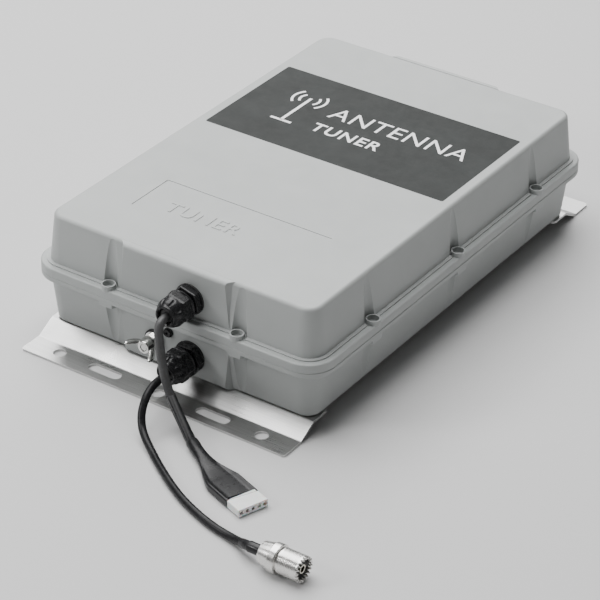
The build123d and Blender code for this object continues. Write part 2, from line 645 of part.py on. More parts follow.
def make_antenna_terminal():
    """The insulated antenna stud on the rear wall."""
    place = facing(0, wall_half_y, ANTENNA_Z, 1)
    bush_in = -SPOTFACE_WALL - ANTENNA_BUSH_IN
    skirt = ANTENNA_GASKET
    bush = turned((0, skirt), (INSULATOR_SHAPE[0][0], skirt), *INSULATOR_SHAPE,
                  (INSULATOR_TIP_R, INSULATOR_END), (0, INSULATOR_END))
    bush += post(ANTENNA_NECK_R, 0, 0, bush_in, skirt)
    thread = post(ANTENNA_STUD_R + RUNNING, 0, 0, -ANTENNA_STUD_IN - PAST, ANTENNA_STUD_END + PAST)
    bush -= post(ANTENNA_STUD_R + SEAT, 0, 0, bush_in - PAST, INSULATOR_END + PAST)
    parts["antenna_insulator"] = place * bush
    parts["antenna_gasket"] = place * tube(ANTENNA_GASKET_R, ANTENNA_NECK_R + SEAT, 0, skirt)
    parts["antenna_stud"] = place * post(ANTENNA_STUD_R, 0, 0, -ANTENNA_STUD_IN, ANTENNA_STUD_END)
    inner_nut = hexagon(ANTENNA_HEX, bush_in - ANTENNA_INNER_NUT, bush_in, SMALL_NUT_BEVEL)
    parts["antenna_inner_nut"] = place * (inner_nut - thread)
    nut_end = INSULATOR_END + ANTENNA_NUT
    base_nut = hexagon(ANTENNA_HEX, INSULATOR_END, nut_end, SMALL_NUT_BEVEL)
    parts["antenna_base_nut"] = place * (base_nut - thread)
    washer_low = nut_end + RUNNING
    low = washer_low + ANTENNA_WASHER + RUNNING
    parts["antenna_washer"] = place * tube(ANTENNA_WASHER_R, ANTENNA_STUD_R + FREE, washer_low, low - RUNNING)
    neck = THUMB_NUT_R - THUMB_SHOULDER
    high = low + THUMB_NUT
    thumb = turned((0, low), (neck, low), (neck, low + 1.2), (THUMB_NUT_R, low + 1.8),
                   (THUMB_NUT_R, high - 0.6), (THUMB_NUT_R - THUMB_BEVEL, high), (0, high))
    parts["antenna_thumb_nut"] = place * (thumb - thread)


def make_vent():
    """The small round vent plug under the front flange."""
    place = facing(VENT_X, -wall_half_y, VENT_Z, -1)
    plug = turned((0, 0), (VENT_R, 0), (VENT_R, VENT_HEAD - 1.0), (VENT_R - 0.7, VENT_HEAD), (0, VENT_HEAD))
    plug += post(VENT_STEM_R, 0, 0, -VENT_STEM, 0)
    parts["vent_plug"] = place * (plug - post(VENT_HOLE_R, 0, 0, 0.8, VENT_HEAD + PAST))


def block(size):
    """A box that stands on its own origin."""
    return Box(*size, align=(Align.CENTER, Align.CENTER, Align.MIN))


def make_electronics():
    """The board with the matching network on it."""
    outline = RectangleRounded(board_width, board_length, BOARD_CORNER)
    board = Pos(0, 0, board_z) * extrude(outline, BOARD_THICK)
    hole_r = BOARD_SCREW_R + SEAT
    board -= [post(hole_r, x, y, board_z - PAST, board_top + PAST) for x, y in standoff_places()]
    parts["circuit_board"] = board
    parts["board_screws"] = group(screws(standoff_places(), BOARD_SCREW_R, BOARD_SCREW_HEAD_R,
                                         BOARD_SCREW_HEAD, board_top, floor_top))
    relay = fillet(block(RELAY).edges().filter_by(Axis.Z), BODY_ROUND)
    parts["relays"] = group([Pos(x, y, board_top) * relay for x in RELAY_COLUMNS for y in RELAY_ROWS])
    core_z = board_top + CORE_R + CORE_SECTION_R + 2 * WIRE_R + RUNNING
    core = Rot(90, 0, 0) * Torus(CORE_R, CORE_SECTION_R)
    parts["toroid_cores"] = group([Pos(x, y, core_z) * core for x, y in CORE_PLACES])
    loop = Pos(CORE_R, 0, 0) * Torus(CORE_SECTION_R + WIRE_R + RUNNING, WIRE_R)
    angles = range(WIRE_ARC // 2 - 180, WIRE_ARC // 2 + 181 - (360 - WIRE_ARC) // 2, WIRE_STEP)
    parts["toroid_windings"] = group([Pos(x, y, core_z) * Rot(0, -angle, 0) * loop
                                      for x, y in CORE_PLACES for angle in angles])
    can = fillet(block(CAN).edges().filter_by(Axis.Z), CAN_CORNER)
    can -= block((CAN[0] - 2 * CAN_WALL, CAN[1] - 2 * CAN_WALL, CAN[2] - CAN_WALL))
    parts["shield_can"] = Pos(*CAN_PLACE, board_top) * can
    parts["control_chips"] = group([Pos(x, y, board_top) * block(CHIP) for x, y in CHIP_PLACES])
    disc = fillet(post(CAPACITOR_R, 0, 0, 0, CAPACITOR).edges(), BODY_ROUND)
    parts["capacitors"] = group([Pos(x, y, board_top) * disc
                                 for x in CAPACITOR_COLUMNS for y in CAPACITOR_ROWS])
    hollow = (HEADER[0] - 2 * HEADER_WALL, HEADER[1] - 2 * HEADER_WALL, HEADER[2])
    header = block(HEADER) - Pos(0, 0, HEADER_WALL) * block(hollow)
    parts["board_header"] = Pos(HEADER_X, HEADER_Y, board_top) * header
    plug_low = board_top + INNER_PLUG_LIFT
    parts["control_inner_plug"] = Pos(HEADER_X, HEADER_Y, plug_low) * block(INNER_PLUG)


def make_cords(upper_start, lower_start):
    """The control cable, the coax with its sleeve, and their leads inside the case."""
    parts["control_cable"] = cord("control_cable", [upper_start] + CONTROL_ROUTE, CONTROL_R)
    plug_top = board_top + INNER_PLUG_LIFT + INNER_PLUG[2]
    parts["control_inner_lead"] = cord("control_inner_lead", [
        upper_start, (GLAND_X, -136.0, UPPER_GLAND_Z), (24.0, -120.0, 60.0), (HEADER_X - 4.0, -104.0, 54.0),
        (HEADER_X, HEADER_Y, plug_top + 12.0), (HEADER_X, HEADER_Y, plug_top)], CONTROL_R)
    jack_rear = (JACK_X, JACK_Y, JACK_COLLAR_R)
    tail = COAX_ROUTE + [(JACK_X - JACK_LEAD_IN, JACK_Y, JACK_COLLAR_R), jack_rear]
    parts["coax_cable"] = cord("coax_cable", [lower_start] + tail, COAX_R)
    parts["coax_inner_lead"] = cord("coax_inner_lead", [
        lower_start, (GLAND_X, -140.0, LOWER_GLAND_Z), (GLAND_X + 3.0, -128.0, LOWER_GLAND_Z + 1.0),
        (GLAND_X + 3.0, -112.0, board_top + COAX_R)], COAX_R)
    path = route_path([lower_start] + tail)[0]
    start = 1 - COAX_SLEEVE_LENGTH / path.length
    cut = Plane(origin=path @ start, z_dir=path % start)
    parts["coax_sleeve"] = tube_along(path, SLEEVE_R).split(cut, keep=Keep.TOP) - tube_along(path, COAX_R)


def make_jack():
    """An in-line jack with a 5/8 inch threaded barrel and a serrated rim, lying along +X."""
    place = Plane(origin=(JACK_X, JACK_Y, JACK_COLLAR_R), x_dir=(0, 1, 0), z_dir=(1, 0, 0)).location
    shell = turned((0, 0), (JACK_REAR_R - 0.6, 0), (JACK_REAR_R, 0.6), (JACK_COLLAR_R - 0.9, 7.6),
                   (JACK_COLLAR_R, 8.4), (JACK_COLLAR_R, JACK_REAR - 0.6), (JACK_COLLAR_R - 0.5, JACK_REAR),
                   (JACK_THREAD_R - 0.5, JACK_REAR), (JACK_THREAD_R - 0.5, JACK_REAR + 0.9),
                   (JACK_THREAD_R, JACK_REAR + 1.3), (JACK_THREAD_R, JACK_LENGTH - 0.5),
                   (JACK_THREAD_R - 0.5, JACK_LENGTH), (0, JACK_LENGTH))
    shell -= post(JACK_BORE_R, 0, 0, JACK_BORE_START, JACK_LENGTH + PAST)
    shell -= post(COAX_R + 0.5, 0, 0, 3.0, JACK_BORE_START + PAST)
    notch = Pos(JACK_THREAD_R - 0.6, 0, JACK_LENGTH) * Box(*JACK_NOTCH)
    shell -= [Rot(0, 0, 360 * i / JACK_NOTCHES) * notch for i in range(JACK_NOTCHES)]
    parts["jack_shell"] = place * shell
    insulator = post(JACK_BORE_R, 0, 0, JACK_BORE_START, JACK_LENGTH - JACK_INSULATOR_BACK)
    parts["jack_insulator"] = place * (insulator - post(JACK_PIN_R, 0, 0, 0, JACK_LENGTH))
    contact = post(JACK_PIN_R, 0, 0, JACK_BORE_START, JACK_LENGTH - JACK_CONTACT_BACK)
    parts["jack_contact"] = place * (contact - post(JACK_CONTACT_R, 0, 0, JACK_CONTACT_START, JACK_LENGTH))


def make_connector():
    """The flattened boot and the flat white housing at the end of the control cable."""
    neck = Vector(*CONTROL_ROUTE[-1])
    along = (neck - Vector(*CONTROL_ROUTE[-2])).normalized()
    heading = math.radians(BOOT_HEADING)
    out = Vector(math.cos(heading), math.sin(heading), 0)
    across = Vector(-out.Y, out.X, 0)
    waist = Vector(*BOOT_WAIST, BOOT_WAIST_THICK / 2)
    flat_start = Vector(*BOOT_FLAT_START, BOOT_THICK / 2)
    waist_dir = (flat_start - waist).normalized()
    waist_plane = Plane(origin=waist, x_dir=(-waist_dir.Y, waist_dir.X, 0), z_dir=waist_dir)
    waist_corner = BOOT_WAIST_THICK / 2 - SEAT
    sections = [Plane(origin=neck, z_dir=along) * Circle(BOOT_NECK_R),
                waist_plane * RectangleRounded(BOOT_WAIST_WIDTH, BOOT_WAIST_THICK, waist_corner)]
    for distance in (0.0, BOOT_FLAT):
        face = Plane(origin=flat_start + out * distance, x_dir=across, z_dir=out)
        sections.append(face * RectangleRounded(BOOT_WIDTH, BOOT_THICK, BOOT_CORNER))
    parts["connector_boot"] = loft(sections[:2]) + loft(sections[1:3]) + loft(sections[2:], ruled=True)
    place = Plane(origin=flat_start + out * BOOT_FLAT, x_dir=across, z_dir=out)
    outline = RectangleRounded(HOUSING_WIDTH, HOUSING_THICK, HOUSING_CORNER)
    pitch = HOUSING_WIDTH / PIN_COUNT
    offsets = [(i - (PIN_COUNT - 1) / 2) * pitch for i in range(PIN_COUNT)]
    socket_plane = place.offset(HOUSING_LENGTH - SOCKET_DEPTH)
    housing = extrude(place * outline, HOUSING_LENGTH)
    mouth = Rectangle(SOCKET, SOCKET)
    housing -= [extrude(socket_plane * Pos(x, 0) * mouth, SOCKET_DEPTH + PAST) for x in offsets]
    parts["connector_housing"] = housing
    pin = Rectangle(PIN_WIDTH, PIN_THICK)
    pin_length = SOCKET_DEPTH - PIN_SHORT
    parts["connector_pins"] = group([extrude(socket_plane * Pos(x, 0) * pin, pin_length) for x in offsets])


parts["top_cover"] = make_cover()
parts["base_case"] = make_base()
parts["top_label"] = label_blank(0.0)
parts["cover_gasket"] = gasket_ring()
parts["case_inserts"] = group([
    Pos(x, y, 0) * tube(INSERT_R, SCREW_R + RUNNING, PARTING - INSERT_LENGTH, PARTING - RUNNING)
    for x, y in cover_screw_places()])
parts["cover_screws"] = group(screws(cover_screw_places(), SCREW_R, SCREW_HEAD_R, SCREW_HEAD,
                                     ledge_z - SCREW_SINK, PARTING - INSERT_LENGTH + SCREW_TIP_GAP))
parts["front_bracket"] = make_bracket(-1)
parts["rear_bracket"] = make_bracket(1)
parts["bracket_inserts"] = group([
    Pos(x, y, 0) * tube(INSERT_R, BRACKET_SCREW_R + RUNNING, CASE_BOTTOM, CASE_BOTTOM + INSERT_LENGTH)
    for x, y in bracket_screw_places()])
parts["bracket_screws"] = group(screws(
    bracket_screw_places(), BRACKET_SCREW_R, BRACKET_SCREW_HEAD_R, BRACKET_SCREW_HEAD,
    CASE_BOTTOM - SHEET, CASE_BOTTOM + INSERT_LENGTH - BRACKET_SCREW_TIP_GAP))
upper_start = make_gland("upper", UPPER_GLAND_Z, UPPER_GLAND_TURN, CONTROL_R)
lower_start = make_gland("lower", LOWER_GLAND_Z, LOWER_GLAND_TURN, COAX_R)
make_ground_terminal()
make_antenna_terminal()
make_vent()
make_electronics()
make_cords(upper_start, lower_start)
make_jack()
make_connector()

os.makedirs("parts", exist_ok=True)
for name, shape in parts.items():
    export_step(shape, f"parts/{name}.step")
    print(name, len(shape.solids()), round(shape.volume))
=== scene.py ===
import json
import math

import bmesh
import bpy
import numpy as np
from mathutils import Matrix, Vector


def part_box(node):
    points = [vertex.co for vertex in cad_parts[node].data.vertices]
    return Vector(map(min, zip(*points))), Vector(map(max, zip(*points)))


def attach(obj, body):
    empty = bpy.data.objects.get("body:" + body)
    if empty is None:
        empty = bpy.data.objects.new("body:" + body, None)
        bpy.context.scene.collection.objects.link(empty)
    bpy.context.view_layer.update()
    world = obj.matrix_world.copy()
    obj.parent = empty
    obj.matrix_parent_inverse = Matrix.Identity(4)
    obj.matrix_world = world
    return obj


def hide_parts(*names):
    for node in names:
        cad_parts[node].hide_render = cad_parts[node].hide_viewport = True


# Outdoor antenna tuner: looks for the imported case, brackets, glands, terminals and leads.
# Metres throughout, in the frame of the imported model.

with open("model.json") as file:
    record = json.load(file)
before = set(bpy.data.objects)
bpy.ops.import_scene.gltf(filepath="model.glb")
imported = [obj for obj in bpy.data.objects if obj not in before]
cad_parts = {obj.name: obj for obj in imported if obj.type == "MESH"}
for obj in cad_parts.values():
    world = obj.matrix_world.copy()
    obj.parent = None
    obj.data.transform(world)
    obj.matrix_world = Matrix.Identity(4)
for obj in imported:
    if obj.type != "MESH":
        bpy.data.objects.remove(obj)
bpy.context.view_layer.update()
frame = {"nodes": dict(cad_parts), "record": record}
nodes = frame["nodes"]
MM = 0.001

# ---------------------------------------------------------------- camera

CAMERA_PLACE = Vector((0.8010, -1.2080, 0.8876))
CAMERA_AZIMUTH = math.radians(34.0)
CAMERA_ELEVATION = math.radians(32.05)
CAMERA_ROLL = math.radians(0.87)
CAMERA_LENS = 156.1


def make_camera():
    """A long lens looking down at one front corner of the case."""
    az, el, roll = CAMERA_AZIMUTH, CAMERA_ELEVATION, CAMERA_ROLL
    back = Vector((math.sin(az) * math.cos(el), -math.cos(az) * math.cos(el), math.sin(el)))
    right = Vector((math.cos(az), math.sin(az), 0))
    up = back.cross(right)
    x_axis = math.cos(roll) * right + math.sin(roll) * up
    y_axis = math.cos(roll) * up - math.sin(roll) * right
    turn = Matrix((x_axis, y_axis, back)).transposed()
    data = bpy.data.cameras.new("view_camera")
    data.lens = CAMERA_LENS
    data.sensor_width = 36
    data.clip_end = 20
    camera = bpy.data.objects.new("view_camera", data)
    camera.matrix_world = Matrix.Translation(CAMERA_PLACE) @ turn.to_4x4()
    bpy.context.scene.collection.objects.link(camera)
    bpy.context.scene.camera = camera


make_camera()

# ---------------------------------------------------------------- finishes


class Finish:
    """A procedural material: a principled shader with small helpers for its texture nodes."""

    def __init__(self, name, color, roughness, metallic=0.0):
        self.material = bpy.data.materials.new(name)
        self.material.use_nodes = True
        self.tree = self.material.node_tree
        self.shader = self.tree.nodes["Principled BSDF"]
        self.set("Base Color", (*color, 1))
        self.set("Roughness", roughness)
        self.set("Metallic", metallic)
        self.place = self.tree.nodes.new("ShaderNodeTexCoord").outputs["Object"]

    def set(self, socket, value):
        """Give a shader socket a fixed value."""
        self.shader.inputs[socket].default_value = value

    def link(self, output, socket):
        """Drive a shader socket from a texture."""
        self.tree.links.new(output, self.shader.inputs[socket])

    def node(self, kind, inputs=(), **settings):
        """Add a node, with its settings and its inputs given as fixed values or outputs."""
        made = self.tree.nodes.new(kind)
        for key, value in settings.items():
            setattr(made, key, value)
        for key, value in dict(inputs).items():
            if isinstance(value, bpy.types.NodeSocket):
                self.tree.links.new(value, made.inputs[key])
            else:
                made.inputs[key].default_value = value
        return made

    def mapped(self, scale=(1, 1, 1)):
        """Object coordinates, stretched."""
        return self.node("ShaderNodeMapping", {"Vector": self.place, "Scale": scale}).outputs["Vector"]

    def noise(self, scale, detail=3.0, rough=0.5, vector=None):
        """Fractal noise; scale is in cycles per metre."""
        inputs = {"Vector": vector or self.place, "Scale": scale, "Detail": detail, "Roughness": rough}
        return self.node("ShaderNodeTexNoise", inputs).outputs["Fac"]

    def ramp(self, value, stops):
        """A grey ramp from (position, grey) stops."""
        made = self.node("ShaderNodeValToRGB", {"Fac": value})
        while len(made.color_ramp.elements) < len(stops):
            made.color_ramp.elements.new(0.5)
        for element, (position, grey) in zip(made.color_ramp.elements, stops):
            element.position = position
            element.color = (grey, grey, grey, 1)
        return made.outputs["Color"]

    def math(self, operation, a, b=0.0):
        """Arithmetic on two values."""
        return self.node("ShaderNodeMath", {0: a, 1: b}, operation=operation).outputs[0]

    def mix(self, factor, a, b):
        """Blend two colours."""
        made = self.node("ShaderNodeMix", data_type="RGBA")
        for key, value in (("Factor", factor), ("A", a), ("B", b)):
            sockets = [s for s in made.inputs if s.name == key and s.enabled]
            if isinstance(value, bpy.types.NodeSocket):
                self.tree.links.new(value, sockets[0])
            else:
                sockets[0].default_value = value if key == "Factor" else (*value, 1)
        return [s for s in made.outputs if s.enabled][0]

    def bump(self, height, strength, distance):
        """Relief from a height value; distance is the relief's depth in metres."""
        inputs = {"Height": height, "Strength": strength, "Distance": distance}
        return self.node("ShaderNodeBump", inputs).outputs["Normal"]

    def edge(self, radius, gain):
        """Where edges are: 1 less the likeness of the rounded and the true normal, strengthened."""
        rounded = self.node("ShaderNodeBevel", {"Radius": radius}, samples=4).outputs["Normal"]
        true = self.node("ShaderNodeNewGeometry").outputs["Normal"]
        like = self.node("ShaderNodeVectorMath", {0: rounded, 1: true}, operation="DOT_PRODUCT")
        unlike = self.math("SUBTRACT", 1.0, like.outputs["Value"])
        made = self.node("ShaderNodeMath", {0: unlike, 1: gain}, operation="MULTIPLY")
        made.use_clamp = True
        return made.outputs[0]


def case_plastic():
    """Satin light grey moulding: fine grain, faint mottling, and edges painted paler as a painted highlight.
    """
    f = Finish("case_plastic", (0.36, 0.376, 0.37), 0.5)
    mottle = f.ramp(f.noise(9, 4, 0.6), ((0.35, 0.0), (0.7, 1.0)))
    tone = f.mix(mottle, (0.35, 0.366, 0.36), (0.38, 0.395, 0.389))
    speck = f.ramp(f.noise(1500, 2, 0.7), ((0.68, 0.0), (0.8, 0.25)))
    tone = f.mix(speck, tone, (0.30, 0.312, 0.307))
    # paler edges: a painted highlight standing in for the light the rounded edges catch
    f.link(f.mix(f.edge(0.0008, 1.2), tone, (0.55, 0.565, 0.56)), "Base Color")
    f.link(f.ramp(f.noise(60, 5, 0.7), ((0.3, 0.40), (0.75, 0.54))), "Roughness")
    f.link(f.bump(f.noise(2600, 2, 0.6), 0.22, 0.00008), "Normal")
    return f.material


def rolled_steel():
    """Stainless sheet with long fine brush lines along X, cloudy roughness and bright edges painted on as a
    painted highlight.
    """
    f = Finish("stainless_sheet", (0.6, 0.6, 0.59), 0.3, 1.0)
    lines = f.noise(1.0, 3, 0.7, f.mapped((22, 5200, 5200)))
    cloud = f.noise(26, 4, 0.6)
    tone = f.mix(f.ramp(lines, ((0.35, 0.0), (0.65, 1.0))), (0.40, 0.40, 0.395), (0.56, 0.56, 0.555))
    # bright edges: a painted highlight standing in for light caught on the sheet's edges
    f.link(f.mix(f.edge(0.0007, 3.0), tone, (0.82, 0.82, 0.81)), "Base Color")
    f.link(f.ramp(f.math("ADD", f.math("MULTIPLY", lines, 0.4), f.math("MULTIPLY", cloud, 0.6)),
                  ((0.35, 0.24), (0.65, 0.40))), "Roughness")
    f.link(f.bump(lines, 0.1, 0.00002), "Normal")
    return f.material


def simple(name, dark, light, rough, metallic=0.0, blotch=40, grain=1500, relief=0.15, depth=0.00005,
           painted_edge_tone=None, painted_edge_gain=3.0, stretch=(1, 1, 1), **fixed):
    """A finish from two tones mixed by blotches, a roughness range, a fine relief and a painted edge tone,
    which mostly stands for a painted highlight.
    """
    f = Finish(name, dark, rough[0], metallic)
    tone = f.mix(f.ramp(f.noise(blotch, 4, 0.6), ((0.35, 0.0), (0.68, 1.0))), dark, light)
    # edge tone mixed in by the edge mask: painted light on the edges, standing in for highlights
    if painted_edge_tone:
        tone = f.mix(f.edge(0.0005, painted_edge_gain), tone, painted_edge_tone)
    f.link(tone, "Base Color")
    f.link(f.ramp(f.noise(blotch * 4, 4, 0.7), ((0.3, rough[0]), (0.72, rough[1]))), "Roughness")
    fine = f.noise(1.0, 3, 0.6, f.mapped(tuple(grain * s for s in stretch)))
    f.link(f.bump(fine, relief, depth), "Normal")
    for socket, value in fixed.items():
        f.set(socket.replace("_", " "), value)
    return f.material


def board_mask():
    """Green solder mask with buried copper tracks as stepped bands, and a woven glass base."""
    f = Finish("board_laminate", (0.02, 0.11, 0.05), 0.35)
    bands = {"Vector": f.mapped(), "Scale": 130.0, "Mortar Size": 0.012, "Color1": (0, 0, 0, 1),
             "Color2": (0.25, 0.25, 0.25, 1), "Mortar": (1, 1, 1, 1)}
    tracks = f.node("ShaderNodeTexBrick", bands, offset=0.37).outputs["Color"]
    weave = f.node("ShaderNodeTexChecker", {"Vector": f.mapped(), "Scale": 1300.0}).outputs["Fac"]
    tone = f.mix(tracks, (0.016, 0.095, 0.045), (0.05, 0.2, 0.07))
    tone = f.mix(f.math("MULTIPLY", weave, 0.12), tone, (0.04, 0.16, 0.08))
    f.link(f.mix(f.edge(0.0006, 4.0), tone, (0.35, 0.33, 0.18)), "Base Color")
    f.link(f.ramp(f.noise(90, 3, 0.6), ((0.3, 0.25), (0.7, 0.42))), "Roughness")
    f.link(f.bump(tracks, 0.4, 0.00006), "Normal")
    return f.material


def jacket(name, dark, light, rough, shine=0.5):
    """Extruded cable jacket: matt, with a fine grain, scuffs and a dusty bloom."""
    f = Finish(name, dark, rough[0])
    scuff = f.ramp(f.noise(420, 5, 0.75), ((0.55, 0.0), (0.72, 0.6)))
    tone = f.mix(f.ramp(f.noise(60, 4, 0.6), ((0.3, 0.0), (0.7, 1.0))), dark, light)
    f.link(f.mix(scuff, tone, tuple(min(1, c * 1.9) for c in light)), "Base Color")
    f.link(f.ramp(f.noise(260, 4, 0.7), ((0.3, rough[0]), (0.7, rough[1]))), "Roughness")
    f.link(f.bump(f.noise(2200, 3, 0.6), 0.2, 0.00005), "Normal")
    f.set("Specular IOR Level", shine)
    return f.material


finishes = {
    # painted_edge_tone below: edges painted lighter as a painted highlight; on print_white it darkens the
    # letters' edges
    "case_plastic": case_plastic(),
    "label_film": simple("label_film", (0.021, 0.023, 0.022), (0.026, 0.029, 0.028), (0.5, 0.62), grain=3800,
                         relief=0.12, painted_edge_tone=(0.10, 0.105, 0.10), painted_edge_gain=1.5, Specular_IOR_Level=0.12),
    "print_white": simple("print_white", (0.84, 0.84, 0.84), (0.9, 0.9, 0.9), (0.4, 0.52), blotch=120,
                          grain=4200, relief=0.1, painted_edge_tone=(0.75, 0.75, 0.75), painted_edge_gain=1.0),
    "soft_rubber": simple("soft_rubber", (0.016, 0.016, 0.016), (0.03, 0.03, 0.03), (0.55, 0.75), grain=1800,
                          relief=0.3, painted_edge_tone=(0.07, 0.07, 0.068)),
    "brass_inserts": simple("brass_inserts", (0.62, 0.44, 0.17), (0.78, 0.6, 0.28), (0.22, 0.36), 1.0,
                            stretch=(1, 1, 0.1), relief=0.3, painted_edge_tone=(0.9, 0.75, 0.45)),
    "stainless_sheet": rolled_steel(),
    "stainless_screws": simple("stainless_screws", (0.16, 0.16, 0.155), (0.27, 0.27, 0.265), (0.3, 0.48), 1.0,
                               blotch=300, painted_edge_tone=(0.8, 0.8, 0.79)),
    "black_nylon": simple("black_nylon", (0.008, 0.008, 0.009), (0.013, 0.013, 0.014), (0.2, 0.34),
                          blotch=160, grain=1300, relief=0.16, painted_edge_tone=(0.06, 0.06, 0.062), painted_edge_gain=2.0,
                          Specular_IOR_Level=0.3),
    "plated_hardware": simple("plated_hardware", (0.55, 0.55, 0.53), (0.74, 0.74, 0.72), (0.14, 0.3), 1.0,
                              blotch=260, painted_edge_tone=(0.9, 0.9, 0.88)),
    "insulator_glaze": simple("insulator_glaze", (0.03, 0.018, 0.012), (0.05, 0.03, 0.02), (0.08, 0.18),
                              blotch=90, grain=300, relief=0.06, painted_edge_tone=(0.12, 0.08, 0.05), Coat_Weight=0.6),
    "board_laminate": board_mask(),
    "relay_plastic": simple("relay_plastic", (0.012, 0.03, 0.09), (0.02, 0.045, 0.12), (0.25, 0.4),
                            painted_edge_tone=(0.08, 0.12, 0.2)),
    "core_powder": simple("core_powder", (0.42, 0.06, 0.03), (0.55, 0.1, 0.05), (0.45, 0.65), blotch=200,
                          relief=0.3),
    "enamelled_wire": simple("enamelled_wire", (0.5, 0.17, 0.06), (0.68, 0.28, 0.11), (0.15, 0.3), 1.0,
                             blotch=300),
    "tinned_can": simple("tinned_can", (0.55, 0.55, 0.53), (0.7, 0.7, 0.68), (0.25, 0.45), 1.0, blotch=70,
                         painted_edge_tone=(0.85, 0.85, 0.84)),
    "chip_epoxy": simple("chip_epoxy", (0.014, 0.014, 0.015), (0.022, 0.022, 0.023), (0.5, 0.65), relief=0.25,
                         painted_edge_tone=(0.05, 0.05, 0.05)),
    "capacitor_body": simple("capacitor_body", (0.38, 0.13, 0.03), (0.5, 0.2, 0.05), (0.25, 0.42), blotch=150,
                             painted_edge_tone=(0.6, 0.32, 0.12)),
    "header_plastic": simple("header_plastic", (0.66, 0.63, 0.54), (0.76, 0.73, 0.65), (0.35, 0.5),
                             painted_edge_tone=(0.85, 0.83, 0.78)),
    "cable_jacket": jacket("cable_jacket", (0.040, 0.040, 0.041), (0.060, 0.060, 0.061), (0.42, 0.58)),
    "coax_jacket": jacket("coax_jacket", (0.010, 0.010, 0.011), (0.017, 0.017, 0.018), (0.22, 0.34), 0.15),
    "heat_shrink": simple("heat_shrink", (0.008, 0.008, 0.009), (0.014, 0.014, 0.015), (0.24, 0.38),
                          blotch=120, grain=900, relief=0.25, depth=0.0001, painted_edge_tone=(0.07, 0.07, 0.072),
                          painted_edge_gain=1.6, Specular_IOR_Level=0.3),
    "white_nylon": simple("white_nylon", (0.80, 0.80, 0.79), (0.88, 0.88, 0.87), (0.28, 0.42), blotch=150,
                          painted_edge_tone=(0.93, 0.93, 0.92), painted_edge_gain=1.0, Subsurface_Weight=0.25,
                          Subsurface_Scale=0.003),
    "contact_metal": simple("contact_metal", (0.6, 0.58, 0.5), (0.75, 0.72, 0.64), (0.18, 0.32), 1.0,
                            blotch=500),
    "jack_nickel": simple("jack_nickel", (0.68, 0.67, 0.65), (0.82, 0.81, 0.79), (0.2, 0.32), 1.0, blotch=70,
                          grain=1200, relief=0.05, painted_edge_tone=(0.85, 0.84, 0.82), painted_edge_gain=2.0),
    "jack_plastic": simple("jack_plastic", (0.01, 0.01, 0.01), (0.018, 0.018, 0.018), (0.3, 0.45)),
}

# ---------------------------------------------------------------- leads

CONTROL_RADIUS = 2.8 * MM
COAX_RADIUS = 2.5 * MM
CONTROL_POINTS = [(12.2, -168.5, 64.9), (12.2, -184.0, 64.9), (13.0, -188.4, 60.5), (14.6, -189.4, 51.0),
                  (16.4, -190.0, 41.0), (18.8, -190.6, 31.2), (22.6, -191.5, 21.8), (28.6, -193.1, 13.4),
                  (36.3, -196.3, 7.2), (43.8, -201.0, 4.1), (51.0, -206.0, 3.7)]
COAX_POINTS = [(12.2, -168.5, 24.3), (12.2, -187.5, 24.3), (12.9, -197.5, 23.0), (14.2, -205.0, 18.6),
               (15.9, -210.3, 12.0), (21.0, -215.6, 6.2), (31.5, -222.6, 3.1), (45.6, -232.7, 2.7),
               (62.5, -243.8, 2.7), (80.3, -253.6, 2.7), (104.0, -262.2, 2.7), (121.0, -265.2, 3.0),
               (130.3, -268.2, 5.2), (138.2, -272.0, 8.9), (147.2, -272.0, 8.9)]


def route_curve(name, points_mm, radius):
    """A curve whose NURBS control points are the route's points; radius 0 leaves it a bare line."""
    data = bpy.data.curves.new(name, "CURVE")
    data.dimensions = "3D"
    data.resolution_u = 16
    data.bevel_depth = radius
    data.bevel_resolution = 6
    data.use_fill_caps = radius > 0
    spline = data.splines.new("NURBS")
    spline.points.add(len(points_mm) - 1)
    for point, place in zip(spline.points, points_mm):
        point.co = (*(MM * c for c in place), 1)
    spline.order_u = 3
    spline.use_endpoint_u = True
    made = bpy.data.objects.new(name, data)
    bpy.context.scene.collection.objects.link(made)
    return made


def route_line(points_mm):
    """Points along a route's own NURBS line, one row each, in metres."""
    bare = route_curve("bare_line", points_mm, 0)
    bpy.context.view_layer.update()
    mesh = bpy.data.meshes.new_from_object(bare.evaluated_get(bpy.context.evaluated_depsgraph_get()))
    line = np.empty(len(mesh.vertices) * 3)
    mesh.vertices.foreach_get("co", line)
    bpy.data.objects.remove(bare)
    return line.reshape(-1, 3)


control_line = route_line(CONTROL_POINTS)
coax_line = route_line(COAX_POINTS)


def run_length(line):
    """Distance along a line at each of its points."""
    return np.concatenate(([0.0], np.cumsum(np.linalg.norm(np.diff(line, axis=0), axis=1))))


# ---------------------------------------------------------------- surfaces


def new_piece(name, grids, material, body, stands_for=(), sharp=35, merge=1e-6):
    """One mesh from grids of points (rows, columns, 3), each closed round its columns.

    Each grid is paired with True where it also closes from its last row to its first; the other grids
    end in rows that have shrunk to a point, which are merged into poles."""
    points, faces, start = [], [], 0
    for grid, closed in grids:
        rows, columns = grid.shape[:2]
        index = start + np.arange(rows * columns).reshape(rows, columns)
        low = index if closed else index[:-1]
        high = np.roll(index, -1, 0) if closed else index[1:]
        quads = np.stack([low, np.roll(low, -1, 1), np.roll(high, -1, 1), high], -1)
        faces.append(quads.reshape(-1, 4))
        points.append(grid.reshape(-1, 3))
        start += rows * columns
    mesh = bpy.data.meshes.new(name)
    mesh.from_pydata(np.concatenate(points).tolist(), [], np.concatenate(faces).tolist())
    work = bmesh.new()
    work.from_mesh(mesh)
    bmesh.ops.remove_doubles(work, verts=work.verts, dist=merge)
    bmesh.ops.dissolve_degenerate(work, edges=work.edges, dist=merge)
    bmesh.ops.recalc_face_normals(work, faces=work.faces)
    work.to_mesh(mesh)
    work.free()
    return place_piece(name, mesh, material, body, stands_for, sharp)


